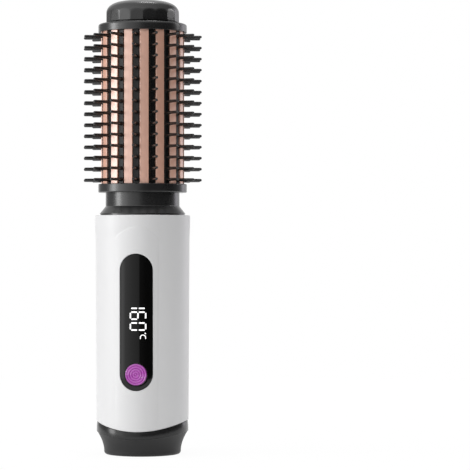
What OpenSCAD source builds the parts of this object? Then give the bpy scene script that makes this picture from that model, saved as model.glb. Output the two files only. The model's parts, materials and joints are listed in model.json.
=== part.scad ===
// Cordless heated round brush, standing on its base.
// Millimetres, +Z up, the control window faces -Y, the origin is under the middle of the base.

/* [Stack heights] */
// Top edge of the handle above the table
handle_top = 112; // [110:0.1:118]
// Height of the neck between the handle and the flange
neck_h = 10.7; // [9.5:0.1:13]
// Thickness of the flange under the barrel
flange_h = 4; // [3.5:0.1:5]
// Length of the heated barrel
barrel_len = 71.2; // [71:0.1:90]
// Height of the collar above the barrel
collar_h = 4.2; // [4:0.1:5]
// Height of the cool tip
tip_h = 10.5; // [10:0.1:13]
// Shadow gap under the cool tip
tip_gap = 0.4; // [0.2:0.1:0.6]

/* [Cool tip] */
// Radius over the ridges between the facets
tip_r = 17.3; // [17:0.1:17.6]
// Number of facets round the tip
tip_facets = 18; // [14:1:24]
// Turn of the facets against the window, in degrees
tip_turn = -1.2; // [-10:0.1:10]
// Roundness of the dome, 2 is an ellipse
dome_power = 3.3; // [2.2:0.1:4]

/* [Barrel] */
// Outer radius of the lands
barrel_r = 19.5; // [19.3:0.1:20]
// Turn of the lands and strips against the window, in degrees
barrel_turn = -1; // [-5:0.1:5]
// Radius of the bore that holds the heater
bore_r = 15.4; // [15.2:0.1:15.5]
// Width of the mouth of a T-slot
slot_mouth = 3.3; // [3:0.1:3.6]
// Radius of the flange and of the collar
flange_r = 20.8; // [20.5:0.1:22]

/* [Bristles] */
// Stiff pins on one strip
pins = 14; // [8:1:14]
// Spacing of the pins along a strip
pin_pitch = 5.17; // [4:0.01:5.17]
// Radius that the pin tips reach
pin_tip_r = 28.1; // [25:0.1:32]
// Diameter of a pin near its tip
pin_d = 1.3; // [0.9:0.05:1.4]
// Width of the ribbed crown of a strip, between the dark gaps beside it
crown_w = 2.1; // [1.9:0.1:2.6]

/* [Handle] */
// Radius of the handle just above the base seam
handle_r = 21.6; // [21.5:0.05:22]
// How much the handle widens towards its top edge
handle_spread = 0.46; // [0.3:0.02:0.6]
// Extra flare of the rim at the top edge
rim_flare = 0.29; // [0.1:0.01:0.4]
// How far the front band stands proud of the round handle
band_crown = 0.45; // [0.2:0.05:0.5]
// Radius of the cells' space inside the handle
handle_bore = 19.6; // [19.5:0.05:19.7]
// Height of the seam at the front
seam_front = 11.8; // [11.5:0.1:12.5]
// Extra height of the seam at the two sides
seam_rise = 4.3; // [2:0.1:4.6]

/* [Window and display] */
// Width of the control window
window_w = 15.3; // [15:0.1:16]
// Length of the control window
window_len = 63.2; // [60:0.1:64]
// Height of the window's middle above the table
window_mid = 62.4; // [61:0.1:63]
// Height of a digit, which reads sideways
digit_h = 7.7; // [6:0.1:8]
// Width of a digit
digit_w = 3.9; // [3.5:0.1:4.4]
// Width of a lit bar
bar_w = 0.65; // [0.5:0.05:1]

/* [Button] */
// Diameter of the button
button_d = 9.9; // [9:0.1:10]
// Height of the button's middle above the table
button_z = 38.3; // [38:0.1:39]
// Travel of the button
button_travel = 0.5; // [0.3:0.05:0.6]

/* [Base] */
// Radius of the base under the taper
foot_r = 18; // [17.9:0.1:18.5]
// Lower edge of the glossy band at the front
band_low_front = 8.3; // [8:0.1:8.6]
// Extra height of that edge at the two sides
band_low_rise = 2.6; // [2:0.1:2.8]

/* [Battery] */
// Diameter of a cell
cell_d = 18.4; // [18.2:0.1:18.4]
// Length of a cell
cell_len = 65.2; // [65:0.1:65.2]

/* [Hidden] */
$fn = 64;
big = 200;
tiny = 0.01;

rows = 16;
row_step = 360 / rows;
function two(i) = str(i < 10 ? "0" : "", i);
STRIPS = [for (i = [1:rows]) str("bristle_strip_", two(i))];

// Levels of the stack, from the table up
flange_low = handle_top + neck_h;
barrel_low = flange_low + flange_h;
barrel_high = barrel_low + barrel_len;
collar_high = barrel_high + collar_h;
tip_low = collar_high + tip_gap;
tip_high = tip_low + tip_h;

// Webs, sleeves and bolts that clamp the barrel
web_t = 2.5;
sleeve_r = bore_r - 0.1;
sleeve_wall = 2;
snap_r = sleeve_r - 0.1;
snap_top = collar_high + 3.9;
neck_web = 3.2;
lead_hole_r = 4.5;
bolt_y = 9;
bolt_r = 1.5;
bolt_hole_r = 1.7;
bolt_low = flange_low - neck_web;
bolt_len = 85;
nut_h = 2.4;

// Slots and strips
slot_floor_r = 16.7;
slot_neck_r = 18.45;
slot_foot_w = 5;
strip_top_r = 19.02;
strip_gap = 0.1;
rib_groove_x = 0.36;
rib_groove_w = 0.22;
rib_groove_t = 0.2;
pin_first = 1.75;
pin_root = 0.35;

// Heater
spreader_low = barrel_low + 5;
spreader_high = barrel_high - 6;
film_half = 1.05;
heater_half = 0.9;
heater_w = 14;

// Neck
neck_r = 17.35;
neck_foot = 5.3;
neck_foot_r = handle_bore - 0.05;
neck_bore = 14;
skirt_r = 20.1;
skirt_seat_r = handle_bore + 0.2;
skirt_gap = 0.6;
skirt_h = 4.25;
neck_screw_r = 16.3;
neck_screw_angles = [90, 225, 315];

// Handle profile and its front band
rim_low = handle_top - 11.8;
rim_full = handle_top - 4.2;
taper_span = 88;
band_half = 10;
band_fade = 0.18;
window_gap = 0.1;
window_recess = 0.08;
window_t = 1.2;
ledge = 1.3;

// Board and parts behind the window, all measured along Y
board_front = -12.4;
board_back = -11.2;
board_w = 24;
board_low = 27;
board_high = 100;
display_front = -18.6;
flange_front = -19.5;
flange_back = -18.5;
button_face = -22.4;
switch_front = -15.9;

// Chassis
chassis_r = handle_bore - 0.1;
disc_low = 18.5;
disc_high = 21.5;
head_low = handle_top - 8.3;
head_high = handle_top - 5.3;
plate_front = -6.6;
plate_back = -5.2;
cell_x = 9.35;
cell_y = 4.2;
cell_low = 24;
cell_high = cell_low + cell_len;
tab_t = 0.3;
end_wall_low = cell_high + 1.8;
end_wall_t = 2;

// Base
floor_t = 2;
base_bore = 16.5;
spigot_r = 19.3;
post_x = 13;
post_low = 8;
band_r = 21.5;
seam_gap = 0.25;
charge_low = 10.9;
charge_t = 1.2;
port_low = 0.8;

function sag(r, half) = r - sqrt(r * r - half * half);
function radius_for(half, rise) = (half * half + rise * rise) / (2 * rise);
function smooth(t) = let (u = min(1, max(0, t))) u * u * (3 - 2 * u);

// Radius of the round handle at height z, without and with the rim
function body_r(z) = handle_r + handle_spread * min(1, max(0, (z - seam_front) / taper_span));
function rim_r(z) = body_r(z) + rim_flare * smooth((z - rim_low) / (rim_full - rim_low));

// The front band is part of a narrower cylinder whose axis lies forward of the handle's
band_drop = sag(handle_r, band_half) + band_crown;
band_less = handle_r - radius_for(band_half, band_drop);
band_axis = -(band_crown + band_less);
function front_r(z) = body_r(z) - band_less
    - band_fade * smooth((z - rim_low) / (rim_full - rim_low));

// The wavy seams are cut by cylinders that lie along Y
seam_cut_r = radius_for(handle_r, seam_rise);
band_cut_r = radius_for(band_r, band_low_rise);
function band_low(x) = band_low_front + sag(band_cut_r, abs(x));

module tube(h, r, bore) {
    difference() {
        cylinder(h = h, r = r);
        translate([0, 0, -1]) cylinder(h = h + 2, r = bore);
    }
}

module along_y(y) { translate([0, y, 0]) rotate([90, 0, 0]) children(); }

// A rod that lies along Y, between two places on that axis
module rod_y(x, z, r, from, to) {
    translate([x, to, z]) rotate([90, 0, 0]) cylinder(h = to - from, r = r);
}

module block(low, high) { translate(low) cube(high - low); }

module pill(length, width) {
    square([width, length - width], center = true);
    for (side = [-1, 1]) translate([0, side * (length - width) / 2]) circle(d = width);
}

// A pill-shaped prism through the front wall
module window_prism(grow) {
    translate([0, -10, window_mid]) rotate([90, 0, 0])
        linear_extrude(height = 20) pill(window_len + 2 * grow, window_w + 2 * grow);
}

module bolt_holes(low, high) {
    for (side = [-1, 1])
        translate([0, side * bolt_y, low - 1]) cylinder(h = high - low + 2, r = bolt_hole_r);
}

// Everything above a wavy surface that lies along Y
module wave_above(front, r, grow = 0) {
    translate([0, 0, front + r]) rotate([90, 0, 0])
        cylinder(h = 100, r = r + grow, center = true, $fn = 200);
}

// Lead wires: a tube swept along a smooth route
function curve_point(p, i, t) = let (
    a = p[max(i - 1, 0)], b = p[i], c = p[i + 1], d = p[min(i + 2, len(p) - 1)])
    0.5 * (2 * b + (c - a) * t + (2 * a - 5 * b + 4 * c - d) * t * t
    + (3 * b - a - 3 * c + d) * t * t * t);
function route(p, steps = 4) = concat(
    [for (i = [0:len(p) - 2], k = [0:steps - 1]) curve_point(p, i, k / steps)],
    [p[len(p) - 1]]);
function unit(v) = v / norm(v);
function heading(p, i) = unit(p[min(i + 1, len(p) - 1)] - p[max(i - 1, 0)]);
function ring(p, i, r, sides) = let (
    t = heading(p, i), u = unit(cross([1, 0.35, 0], t)), v = cross(t, u))
    [for (k = [0:sides - 1]) p[i] + r * (cos(360 * k / sides) * u + sin(360 * k / sides) * v)];

module wire(points, d) {
    sides = 8;
    p = route(points);
    last = len(p) - 1;
    verts = [for (i = [0:last]) each ring(p, i, d / 2, sides)];
    walls = [for (i = [0:last - 1], k = [0:sides - 1])
        let (a = i * sides + k, b = i * sides + (k + 1) % sides)
        each [[a, b + sides, b], [a, a + sides, b + sides]]];
    caps = concat(
        [for (k = [1:sides - 2]) [0, k, k + 1]],
        [for (k = [1:sides - 2]) [last * sides, last * sides + k + 1, last * sides + k]]);
    polyhedron(points = verts, faces = concat(walls, caps));
}

// Cool tip: a dome cut by flat facets, with a bore that snaps over the collar
dome_r = tip_r + 0.05;
dome_h = 8.7;
dome_wall = 2;
function dome_points(r, h, low, n) = [for (k = [0:n]) let (
    x = r * sin(90 * k / n), z = h * pow(max(0, 1 - pow(x / r, dome_power)), 1 / dome_power))
    [n == k ? r : x, low + z]];

module cool_tip() {
    color("#242424") difference() {
        intersection() {
            rotate_extrude() polygon(concat(
                [[0, tip_low]], dome_points(dome_r, dome_h, tip_high - dome_h, 26),
                [[dome_r, tip_low]]));
            translate([0, 0, tip_low - 1]) linear_extrude(height = tip_h + 2) polygon(
                [for (k = [0:tip_facets - 1])
                    let (a = -90 + tip_turn + (k + 0.5) * 360 / tip_facets)
                    tip_r * [cos(a), sin(a)]]);
        }
        translate([0, 0, tip_low - 1]) cylinder(h = snap_top - tip_low + 1, r = sleeve_r);
        rotate_extrude() polygon(concat(
            [[0, snap_top - tiny]],
            dome_points(dome_r - dome_wall - 0.3, tip_high - snap_top - dome_wall, snap_top, 14),
            [[dome_r - dome_wall - 0.3, snap_top - tiny]]));
    }
}

// Collar on the barrel's end: shoulder, sleeve in the bore, web and snap ring
module tip_collar() {
    corner = 1;
    color("#1c1c1c") difference() {
        rotate_extrude() polygon(concat(
            [[0, barrel_high], [sleeve_r - sleeve_wall, barrel_high],
             [sleeve_r - sleeve_wall, barrel_high - 2], [sleeve_r, barrel_high - 2],
             [sleeve_r, barrel_high], [flange_r - 0.2, barrel_high],
             [flange_r, barrel_high + 0.2]],
            [for (a = [0:15:75]) [flange_r - corner + corner * cos(a),
                collar_high - 0.35 - corner + corner * sin(a)]],
            [[flange_r - corner, collar_high - 0.35], [tip_r + 0.4, collar_high],
             [snap_r, collar_high], [snap_r, snap_top], [snap_r - 1.9, snap_top],
             [snap_r - 1.9, barrel_high + web_t], [0, barrel_high + web_t]]));
        bolt_holes(barrel_high, barrel_high + web_t);
    }
}

module tie_bolts() {
    color("silver") for (side = [-1, 1]) translate([0, side * bolt_y, bolt_low]) {
        cylinder(h = bolt_len, r = bolt_r);
        translate([0, 0, -2]) difference() {
            cylinder(h = 2, r = 2.75);
            translate([0, 0, -1]) cylinder(h = 2.2, r = 1.4, $fn = 6);
        }
    }
}

module tie_nuts() {
    color("silver") for (side = [-1, 1]) translate([0, side * bolt_y, barrel_high + web_t])
        difference() {
            cylinder(h = nut_h, r = 3.15, $fn = 6);
            translate([0, 0, -1]) cylinder(h = nut_h + 2, r = bolt_r);
        }
}

// One T-slot, as an outline in the XY plane that opens towards +X
module slot_outline() {
    polygon([
        [slot_floor_r, -slot_foot_w / 2], [slot_neck_r, -slot_foot_w / 2],
        [slot_neck_r, -slot_mouth / 2], [barrel_r - 0.35, -slot_mouth / 2],
        [barrel_r + 0.4, -slot_mouth / 2 - 0.6], [barrel_r + 0.4, slot_mouth / 2 + 0.6],
        [barrel_r - 0.35, slot_mouth / 2], [slot_neck_r, slot_mouth / 2],
        [slot_neck_r, slot_foot_w / 2], [slot_floor_r, slot_foot_w / 2]]);
}

module heat_barrel() {
    color("#c9957c") translate([0, 0, barrel_low]) difference() {
        tube(barrel_len, barrel_r, bore_r);
        for (k = [0:rows - 1]) rotate(-90 + barrel_turn + k * row_step)
            translate([0, 0, -1]) linear_extrude(height = barrel_len + 2) slot_outline();
    }
}

// A pin with a flared root and a rounded tip
module pin() {
    reach = pin_tip_r - strip_top_r;
    r = pin_d / 2;
    rotate([0, 90, 0]) rotate_extrude() polygon(concat(
        [[0, -0.6], [r + pin_root, -0.6], [r + pin_root, 0], [r + 0.12, 0.7]],
        [for (a = [0:30:90]) [a == 90 ? 0 : r * cos(a), reach - r + r * sin(a)]]));
}

// One edge of a strip's section, from its foot to the middle of its ribbed crown
half_foot = slot_foot_w / 2 - strip_gap;
shoulder_r = slot_neck_r - strip_gap;
half_strip = [
    [slot_floor_r, half_foot], [shoulder_r, half_foot], [shoulder_r, crown_w / 2],
    [strip_top_r - 0.15, crown_w / 2], [strip_top_r, crown_w / 2 - 0.15],
    [strip_top_r, rib_groove_x + rib_groove_w / 2],
    [strip_top_r - rib_groove_t, rib_groove_x + rib_groove_w / 2],
    [strip_top_r - rib_groove_t, rib_groove_x - rib_groove_w / 2],
    [strip_top_r, rib_groove_x - rib_groove_w / 2]];

// Strips are numbered from the front, counter-clockwise seen from above
module bristle_strip(number) {
    color("#1b1b1b") rotate(-90 + barrel_turn + (number - 1) * row_step) {
        translate([0, 0, barrel_low]) linear_extrude(height = barrel_len) polygon(concat(
            half_strip,
            [for (k = [len(half_strip) - 1:-1:0]) [half_strip[k][0], -half_strip[k][1]]]));
        for (k = [0:pins - 1])
            translate([strip_top_r, 0, barrel_low + pin_first + k * pin_pitch]) pin();
    }
}

// Half-round heat spreader; side is -1 for the front half and 1 for the rear half
module heat_spreader(side) {
    h = spreader_high - spreader_low;
    translate([0, 0, spreader_low]) difference() {
        cylinder(h = h, r = bore_r);
        translate([-big / 2, side > 0 ? -big + film_half : -film_half, -1]) cube([big, big, h + 2]);
        translate([0, side * bolt_y, -1]) cylinder(h = h + 2, r = bolt_hole_r);
        children();
    }
}

sensor_x = -10;
sensor_y = -2.2;
fuse_x = 10.6;
fuse_y = 3.3;
sensor_low = 24;
fuse_low = 20;

module heat_spreader_front() {
    color("lightgray") heat_spreader(-1)
        translate([sensor_x - 1.2, sensor_y - 1.2, -1]) cube([2.4, 2.4, sensor_low + 8]);
}

module heat_spreader_rear() {
    color("lightgray") heat_spreader(1)
        translate([fuse_x - 2.3, 0, -1]) cube([4.6, fuse_y + 2.3, fuse_low + 14]);
}

module ceramic_heater() {
    color("ivory") block([-heater_w / 2, -heater_half, spreader_low + 2],
        [heater_w / 2, heater_half, spreader_high - 2]);
}

module insulation_film() {
    color("orange") for (side = [-1, 1])
        block([-heater_w / 2 - 1, side > 0 ? heater_half : -film_half, spreader_low],
            [heater_w / 2 + 1, side > 0 ? film_half : -heater_half, spreader_high]);
}

module temperature_sensor() {
    color("darkolivegreen") translate([sensor_x, sensor_y, spreader_low + sensor_low]) {
        cylinder(h = 5, r = 1.1);
        translate([0, 0, 5]) sphere(r = 1.1);
    }
}

module thermal_fuse() {
    color("white") translate([fuse_x, fuse_y, spreader_low + fuse_low]) {
        cylinder(h = 11, r = 2);
        for (end = [-1.2, 11]) translate([0, 0, end]) cylinder(h = 1.2, r = 0.5);
    }
}

module barrel_base_ring() {
    corner = 0.4;
    color("#1c1c1c") difference() {
        rotate_extrude() polygon([
            [lead_hole_r, flange_low], [flange_r - corner, flange_low],
            [flange_r, flange_low + corner], [flange_r, barrel_low - corner],
            [flange_r - corner, barrel_low], [sleeve_r, barrel_low],
            [sleeve_r, barrel_low + 2.3], [sleeve_r - sleeve_wall, barrel_low + 2.3],
            [sleeve_r - sleeve_wall, barrel_low], [lead_hole_r, barrel_low]]);
        bolt_holes(flange_low, barrel_low);
    }
}

// Neck: a thick foot inside the handle, a seat on its edge, a conical skirt, a tube and a web
module neck_collar() {
    color("#202020") difference() {
        rotate_extrude() polygon([
            [neck_bore, handle_top - neck_foot], [neck_foot_r, handle_top - neck_foot],
            [neck_foot_r, handle_top], [skirt_seat_r, handle_top],
            [skirt_seat_r, handle_top + skirt_gap], [skirt_r, handle_top + skirt_gap],
            [skirt_r, handle_top + skirt_gap + 0.2], [neck_r, handle_top + skirt_h],
            [neck_r, flange_low], [lead_hole_r, flange_low],
            [lead_hole_r, bolt_low], [neck_bore, bolt_low]]);
        bolt_holes(bolt_low, flange_low);
        for (a = neck_screw_angles) rotate(a)
            translate([neck_screw_r, 0, handle_top - neck_foot - 1]) cylinder(h = 8, r = 1.1);
    }
}

module cross_screw(head_r, head_h, shank_r, shank_l) {
    difference() {
        translate([0, 0, -head_h]) cylinder(h = head_h, r = head_r);
        for (a = [0, 90]) rotate(a) translate([-head_r * 0.6, -0.35, -head_h - 1])
            cube([head_r * 1.2, 0.7, 1 + head_h * 0.55]);
    }
    cylinder(h = shank_l, r = shank_r);
}

module neck_screws() {
    color("silver") for (a = neck_screw_angles) rotate(a)
        translate([neck_screw_r, 0, head_low]) cross_screw(2.4, 1.7, 1.1, 9);
}

// Handle shell: round body and front band, wavy lower edge, recess and opening for the window
shell_levels = [for (k = [0:8]) seam_front - 3 + k * (rim_low - seam_front + 3) / 8];
rim_levels = [for (k = [1:5]) rim_low + k * (rim_full - rim_low) / 5];
rim_corner = 0.6;

module handle_shell() {
    top_r = rim_r(handle_top);
    color("white") difference() {
        intersection() {
            union() {
                rotate_extrude() polygon(concat(
                    [[handle_bore, seam_front - 3]],
                    [for (z = shell_levels) [rim_r(z), z]], [for (z = rim_levels) [rim_r(z), z]],
                    [for (a = [0:22.5:90]) [top_r - rim_corner + rim_corner * cos(a),
                        handle_top - rim_corner + rim_corner * sin(a)]],
                    [[handle_bore, handle_top]]));
                difference() {
                    translate([0, band_axis, 0]) rotate_extrude() polygon(concat(
                        [[0, seam_front - 3]], [for (z = shell_levels) [front_r(z), z]],
                        [for (z = rim_levels) [front_r(z), z]],
                        [[front_r(handle_top), handle_top - 1.5], [0, handle_top - 1.5]]));
                    cylinder(h = big, r = handle_bore);
                }
            }
            wave_above(seam_front, seam_cut_r);
        }
        intersection() {
            window_prism(window_gap);
            translate([0, band_axis, 0]) tube(big, band_reach, window_back_r);
        }
        window_prism(-ledge);
    }
}

// The window follows the band at its own mid height
band_reach = 30;
window_face_r = front_r(window_mid) - window_recess;
window_back_r = window_face_r - window_t;

module window_plate(face, back) {
    intersection() {
        children();
        translate([0, band_axis, 0]) tube(big, face, back);
    }
}

module control_window() {
    color("#0a0a0a") difference() {
        window_plate(window_face_r, window_back_r) window_prism(0);
        rod_y(0, button_z, button_d / 2 + 0.3, -30, -10);
        bars(-30, -10);
    }
}

// Display: glyphs run down the window with their tops towards +X
text_x = 0.95;
digit_pitch = 5;
digit_mid = 65.5;
bar_corner = 0.15;
standing_bar = 2.7;
lying_bar = 2.6;
degree = [4.33, 57.3];
degree_r = 0.32;
sign_c = [3.26, 55.4];
sign_r = 1.4;
sign_w = 0.4;
sign_arm = 0.6;

module bar(length) {
    a = length / 2;
    b = bar_w / 2;
    polygon([
        [-a, -b + bar_corner], [-a, b - bar_corner], [bar_corner - a, b], [a - bar_corner, b],
        [a, b - bar_corner], [a, -b + bar_corner], [a - bar_corner, -b], [bar_corner - a, -b]]);
}

// A digit in its own frame: x to its right, y to its top, and the bars that are lit
module digit(lit) {
    half_w = (digit_w - bar_w) / 2;
    half_h = (digit_h - bar_w) / 2;
    places = [
        ["a", 0, half_h, 0], ["b", half_w, half_h / 2, 90], ["c", half_w, -half_h / 2, 90],
        ["d", 0, -half_h, 0], ["e", -half_w, -half_h / 2, 90], ["f", -half_w, half_h / 2, 90],
        ["g", 0, 0, 0]];
    for (p = places) if (len(search(p[0], lit)) > 0)
        translate([p[1], p[2]]) rotate(p[3]) bar(p[3] == 0 ? lying_bar : standing_bar);
}

// A disc with straight sides down to below the letter's arms
module arch(r) {
    circle(r = r);
    translate([-r, -3]) square([2 * r, 3]);
}

module bars(from, to) {
    translate([0, to, 0]) rotate([90, 0, 0]) linear_extrude(height = to - from) {
        for (d = [["bc", 1], ["acdefg", 0], ["abcdef", -1]])
            translate([text_x, digit_mid + d[1] * digit_pitch]) rotate(-90) digit(d[0]);
        translate(degree) circle(r = degree_r);
        translate(sign_c) difference() {
            arch(sign_r);
            arch(sign_r - sign_w);
            translate([-sign_r - 1, -sign_arm - 3]) square([2 * sign_r + 2, 3]);
        }
    }
}

module display_segments() {
    color("white") window_plate(window_face_r + 0.03, 10) bars(-30, display_front);
}

module display_module() {
    color("#151515") block([-6.2, display_front, window_mid - 10.9],
        [6.2, board_front, window_mid + 10.1]);
}

// Button: a face with fine rings, a retaining flange behind the window
ring_pitch = 1.2;
ring_depth = 0.11;

module power_button() {
    r = button_d / 2;
    face_points = [for (k = [0:32]) let (x = (r - 0.35) * k / 32)
        [x, -button_face - 0.15 + ring_depth * cos(360 * x / ring_pitch)]];
    color("#a648b0") translate([0, 0, button_z]) rotate([90, 0, 0]) rotate_extrude() polygon(concat(
        [[0, -flange_back]], face_points,
        [[r - 0.1, -button_face - 0.1], [r, -button_face - 0.3],
         [r, -flange_front], [r + 0.75, -flange_front], [r + 0.75, -flange_back]]));
}

module button_guide() {
    color("#2a2a2a") translate([0, board_front, button_z]) rotate([90, 0, 0])
        tube(5.4, 7.5, 6.1);
}

module tact_switch() {
    color("dimgray") difference() {
        block([-3, switch_front, button_z - 3], [3, board_front, button_z + 3]);
        rod_y(0, button_z, 1.8, switch_front - 1, switch_front + 2.6);
    }
}

module switch_plunger() {
    color("black") rod_y(0, button_z, 1.72, flange_back, switch_front + 1.9);
}

module control_board() {
    color("darkgreen") difference() {
        block([-board_w / 2, board_front, board_low], [board_w / 2, board_back, board_high]);
        for (p = board_posts) rod_y(p[0], p[1], 1.1, board_front - 1, board_back + 1);
    }
}

board_posts = [[-9.8, 30.5], [9.8, 30.5], [-9.8, 86], [9.8, 86]];

module board_screws() {
    color("silver") for (p = board_posts) translate([p[0], board_front, p[1]]) rotate([-90, 0, 0])
        cross_screw(1.9, 1.3, 1, 4.6);
}

module on_board_back(x, z, w, l, t) {
    block([x - w / 2, board_back, z - l / 2], [x + w / 2, board_back + t, z + l / 2]);
}

module controller_chip() {
    color("black") {
        on_board_back(0, 76, 7, 7, 0.9);
        for (side = [-1, 1], k = [-3:3]) {
            on_board_back(side * 3.9, 76 + k * 0.8, 0.8, 0.4, 0.3);
            on_board_back(k * 0.8, 76 + side * 3.9, 0.4, 0.8, 0.3);
        }
    }
}

module power_mosfets() {
    color("black") for (side = [-1, 1]) {
        on_board_back(side * 6, 64, 6.2, 6.6, 2.2);
        for (k = [-1, 1]) on_board_back(side * 6 + k * 2.2, 59.8, 1, 1.8, 0.5);
    }
}

module boost_inductor() {
    color("gray") on_board_back(-5, 50, 9, 9, 3.8);
}

module filter_capacitors() {
    color("silver") for (z = [46, 53]) rod_y(6, z, 2.6, board_back, board_back + 4);
}

module lead_connectors() {
    color("white") for (p = [[-8.6, 5], [0, 6.4], [8.6, 5]]) difference() {
        on_board_back(p[0], 95.5, p[1], 5, 3.6);
        translate([p[0] - p[1] / 2 + 0.6, board_back + 0.8, 96.2]) cube([p[1] - 1.2, 2, 4]);
    }
}

// Chassis: two discs joined by a plate, posts for the board, end wall for the cells
module inner_chassis() {
    color("#3a3a3a") difference() {
        union() {
            translate([0, 0, disc_low]) cylinder(h = disc_high - disc_low, r = chassis_r);
            translate([0, 0, head_low]) cylinder(h = head_high - head_low, r = chassis_r);
            block([-16.5, plate_front, disc_high - 1], [16.5, plate_back, head_low + 1]);
            difference() {
                translate([0, 0, end_wall_low]) cylinder(h = end_wall_t, r = chassis_r);
                block([-big, -big, 0], [big, plate_back - 0.5, big]);
                translate([0, 3, 0]) cylinder(h = big, r = 3.2);
            }
            for (p = board_posts) rod_y(p[0], p[1], 2.2, board_back, plate_front + 0.5);
            for (side = [-1, 1]) translate([side * post_x, 0, post_low])
                cylinder(h = disc_low - post_low + 1, r = 2.5);
        }
        for (p = board_posts) rod_y(p[0], p[1], 1, board_back - 1, plate_front - 0.6);
        translate([0, -7.5, head_low - 1]) cylinder(h = 6, r = 6);
        block([-6, plate_front - 1, 96], [6, plate_back + 1, head_low]);
        translate([0, -10.3, disc_low - 1]) cylinder(h = 5, r = 3.4);
        for (a = neck_screw_angles) rotate(a)
            translate([neck_screw_r, 0, head_low - 1]) cylinder(h = 5, r = 1.4);
        for (side = [-1, 1]) translate([side * post_x, 0, post_low - 1])
            cylinder(h = 9, r = 1.1);
    }
}

// A cell with its raised pole up
module cell() {
    r = cell_d / 2;
    rotate_extrude() polygon([
        [0, 0], [r - 0.6, 0], [r, 0.6], [r, cell_len - 1.8], [r - 0.5, cell_len - 1.1],
        [r - 1.4, cell_len - 0.8], [3.4, cell_len - 0.8], [3, cell_len], [0, cell_len]]);
}

module battery_cell_left() {
    color("#4477aa") translate([-cell_x, cell_y, cell_low]) cell();
}

module battery_cell_right() {
    color("#4477aa") translate([cell_x, cell_y, cell_high]) mirror([0, 0, 1]) cell();
}

module cell_tabs() {
    color("gainsboro") {
        block([-cell_x - 3, cell_y - 2.5, cell_low - tab_t], [cell_x + 3, cell_y + 2.5, cell_low]);
        for (side = [-1, 1]) translate([side * 6.4, cell_y, cell_high])
            block([-5, -2.5, 0], [5, 2.5, tab_t]);
    }
}

module cell_pads() {
    color("#555555") for (side = [-1, 1]) {
        translate([side * cell_x, cell_y, disc_high])
            cylinder(h = cell_low - tab_t - disc_high, r = 6);
        translate([side * cell_x, cell_y, cell_high + tab_t])
            cylinder(h = end_wall_low - cell_high - tab_t, r = 5);
    }
}

// Routes of the leads, points chosen by hand; each starts just clear of what it is soldered to
solder = 0.08;

module heater_leads() {
    top = spreader_low + 2 - solder;
    color("red") for (side = [-1, 1]) wire([
        [side * 3, 0, top], [side * 3, 0, top - 3], [side * 2.2, 0, top - 7],
        [side * 2, 0, flange_low + 1], [side * 2, 0, bolt_low - 2],
        [side * 2, -3, handle_top + 1], [side * 1.9, -7.5, head_low],
        [side * 1.8, -9.4, 101], [side * 1.6, -9.4, 97]], 1.6);
}

module sensor_leads() {
    bead = spreader_low + sensor_low;
    color("#333333") for (side = [-1, 1]) wire([
        [sensor_x, sensor_y + side * 0.6, bead],
        [sensor_x, sensor_y + side * 0.6, spreader_low - 1],
        [-6, -2.6 + side * 0.6, spreader_low - 2.5], [-1.8, -2.8 + side * 0.55, barrel_low],
        [-1, -2.8 + side * 0.55, flange_low], [-1.4, -3 + side * 0.6, bolt_low - 2],
        [-4.4, -6.2 + side * 0.7, handle_top], [-4.2 + side * 0.3, -8.9 + side * 0.7, head_low],
        [-7.4 + side * 0.7, -9.3 + side * 0.4, 101], [-8.6 + side * 0.8, -9.4, 99],
        [-8.6 + side * 0.8, -9.4, 97]], 0.9);
}

module battery_leads() {
    tab = cell_high + tab_t + solder;
    color("red") wire([
        [3, cell_y, tab], [3, cell_y, tab + 0.7], [1.8, 3.2, tab + 2], [1.3, 2, 95],
        [1.9, -2, 99.5], [3.5, -6, 102], [7.5, -9, 101.8], [9.5, -9.4, 99.6],
        [9.5, -9.4, 97]], 1.3);
    color("black") wire([
        [-3, cell_y, tab], [-3, cell_y, tab + 0.7], [-1.8, 3.2, tab + 2], [-1.3, 2, 95],
        [-0.6, -2, 98], [2.2, -6, 100.2], [5.8, -9, 100.1], [7.7, -9.4, 98.7],
        [7.7, -9.4, 97]], 1.3);
}

module charge_leads() {
    top = charge_low + charge_t + solder;
    for (side = [-1, 1]) color(side > 0 ? "red" : "black") wire([
        [side * 2, -6, top], [side * 2, -6.4, top + 2], [side * 1.6, -9.6, disc_low - 1],
        [side * 1.5, -10.2, disc_high], [side * 1.5, -10.3, 26],
        [side * 1.5, -10.4, 31]], 1.2);
}

module charge_board() {
    color("darkgreen") block([-9, -9, charge_low], [9, 9, charge_low + charge_t]);
}

module charge_parts() {
    color("black") {
        block([-7, 3, charge_low + charge_t], [-2, 8, charge_low + charge_t + 1.2]);
        block([2, 4, charge_low + charge_t], [6, 7, charge_low + charge_t + 1.8]);
        block([-6, -3, charge_low + charge_t], [-4, 1, charge_low + charge_t + 0.8]);
    }
}

// Receptacle that faces down through the floor
port_w = 8.94;
port_t = 3.26;
port_wall = 0.3;

module usb_c_socket() {
    color("silver") {
        translate([0, 0, port_low]) linear_extrude(height = charge_low - port_low) difference() {
            rotate(90) pill(port_w, port_t);
            rotate(90) pill(port_w - 2 * port_wall, port_t - 2 * port_wall);
        }
        block([-port_w / 2 + 1, -port_t / 2 + 0.1, charge_low - 2],
            [port_w / 2 - 1, port_t / 2 - 0.1, charge_low]);
        block([-3.35, -0.35, port_low + 1], [3.35, 0.35, charge_low - 1]);
    }
}

// Glossy band between the two wavy edges
module base_ring() {
    color("#333333") difference() {
        intersection() {
            translate([0, 0, 5]) tube(15, band_r, spigot_r + 0.05);
            wave_above(band_low_front, band_cut_r);
        }
        wave_above(seam_front, seam_cut_r, seam_gap);
    }
}

// Foot: a concave taper from the band's lower edge down to a smaller round bottom
base_sides = 72;
taper_levels = 12;
foot_corner = 1.4;
taper_power = 1.85;
lip_r = band_r - 0.25;
lip_h = 0.1;
corner_steps = 4;

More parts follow.
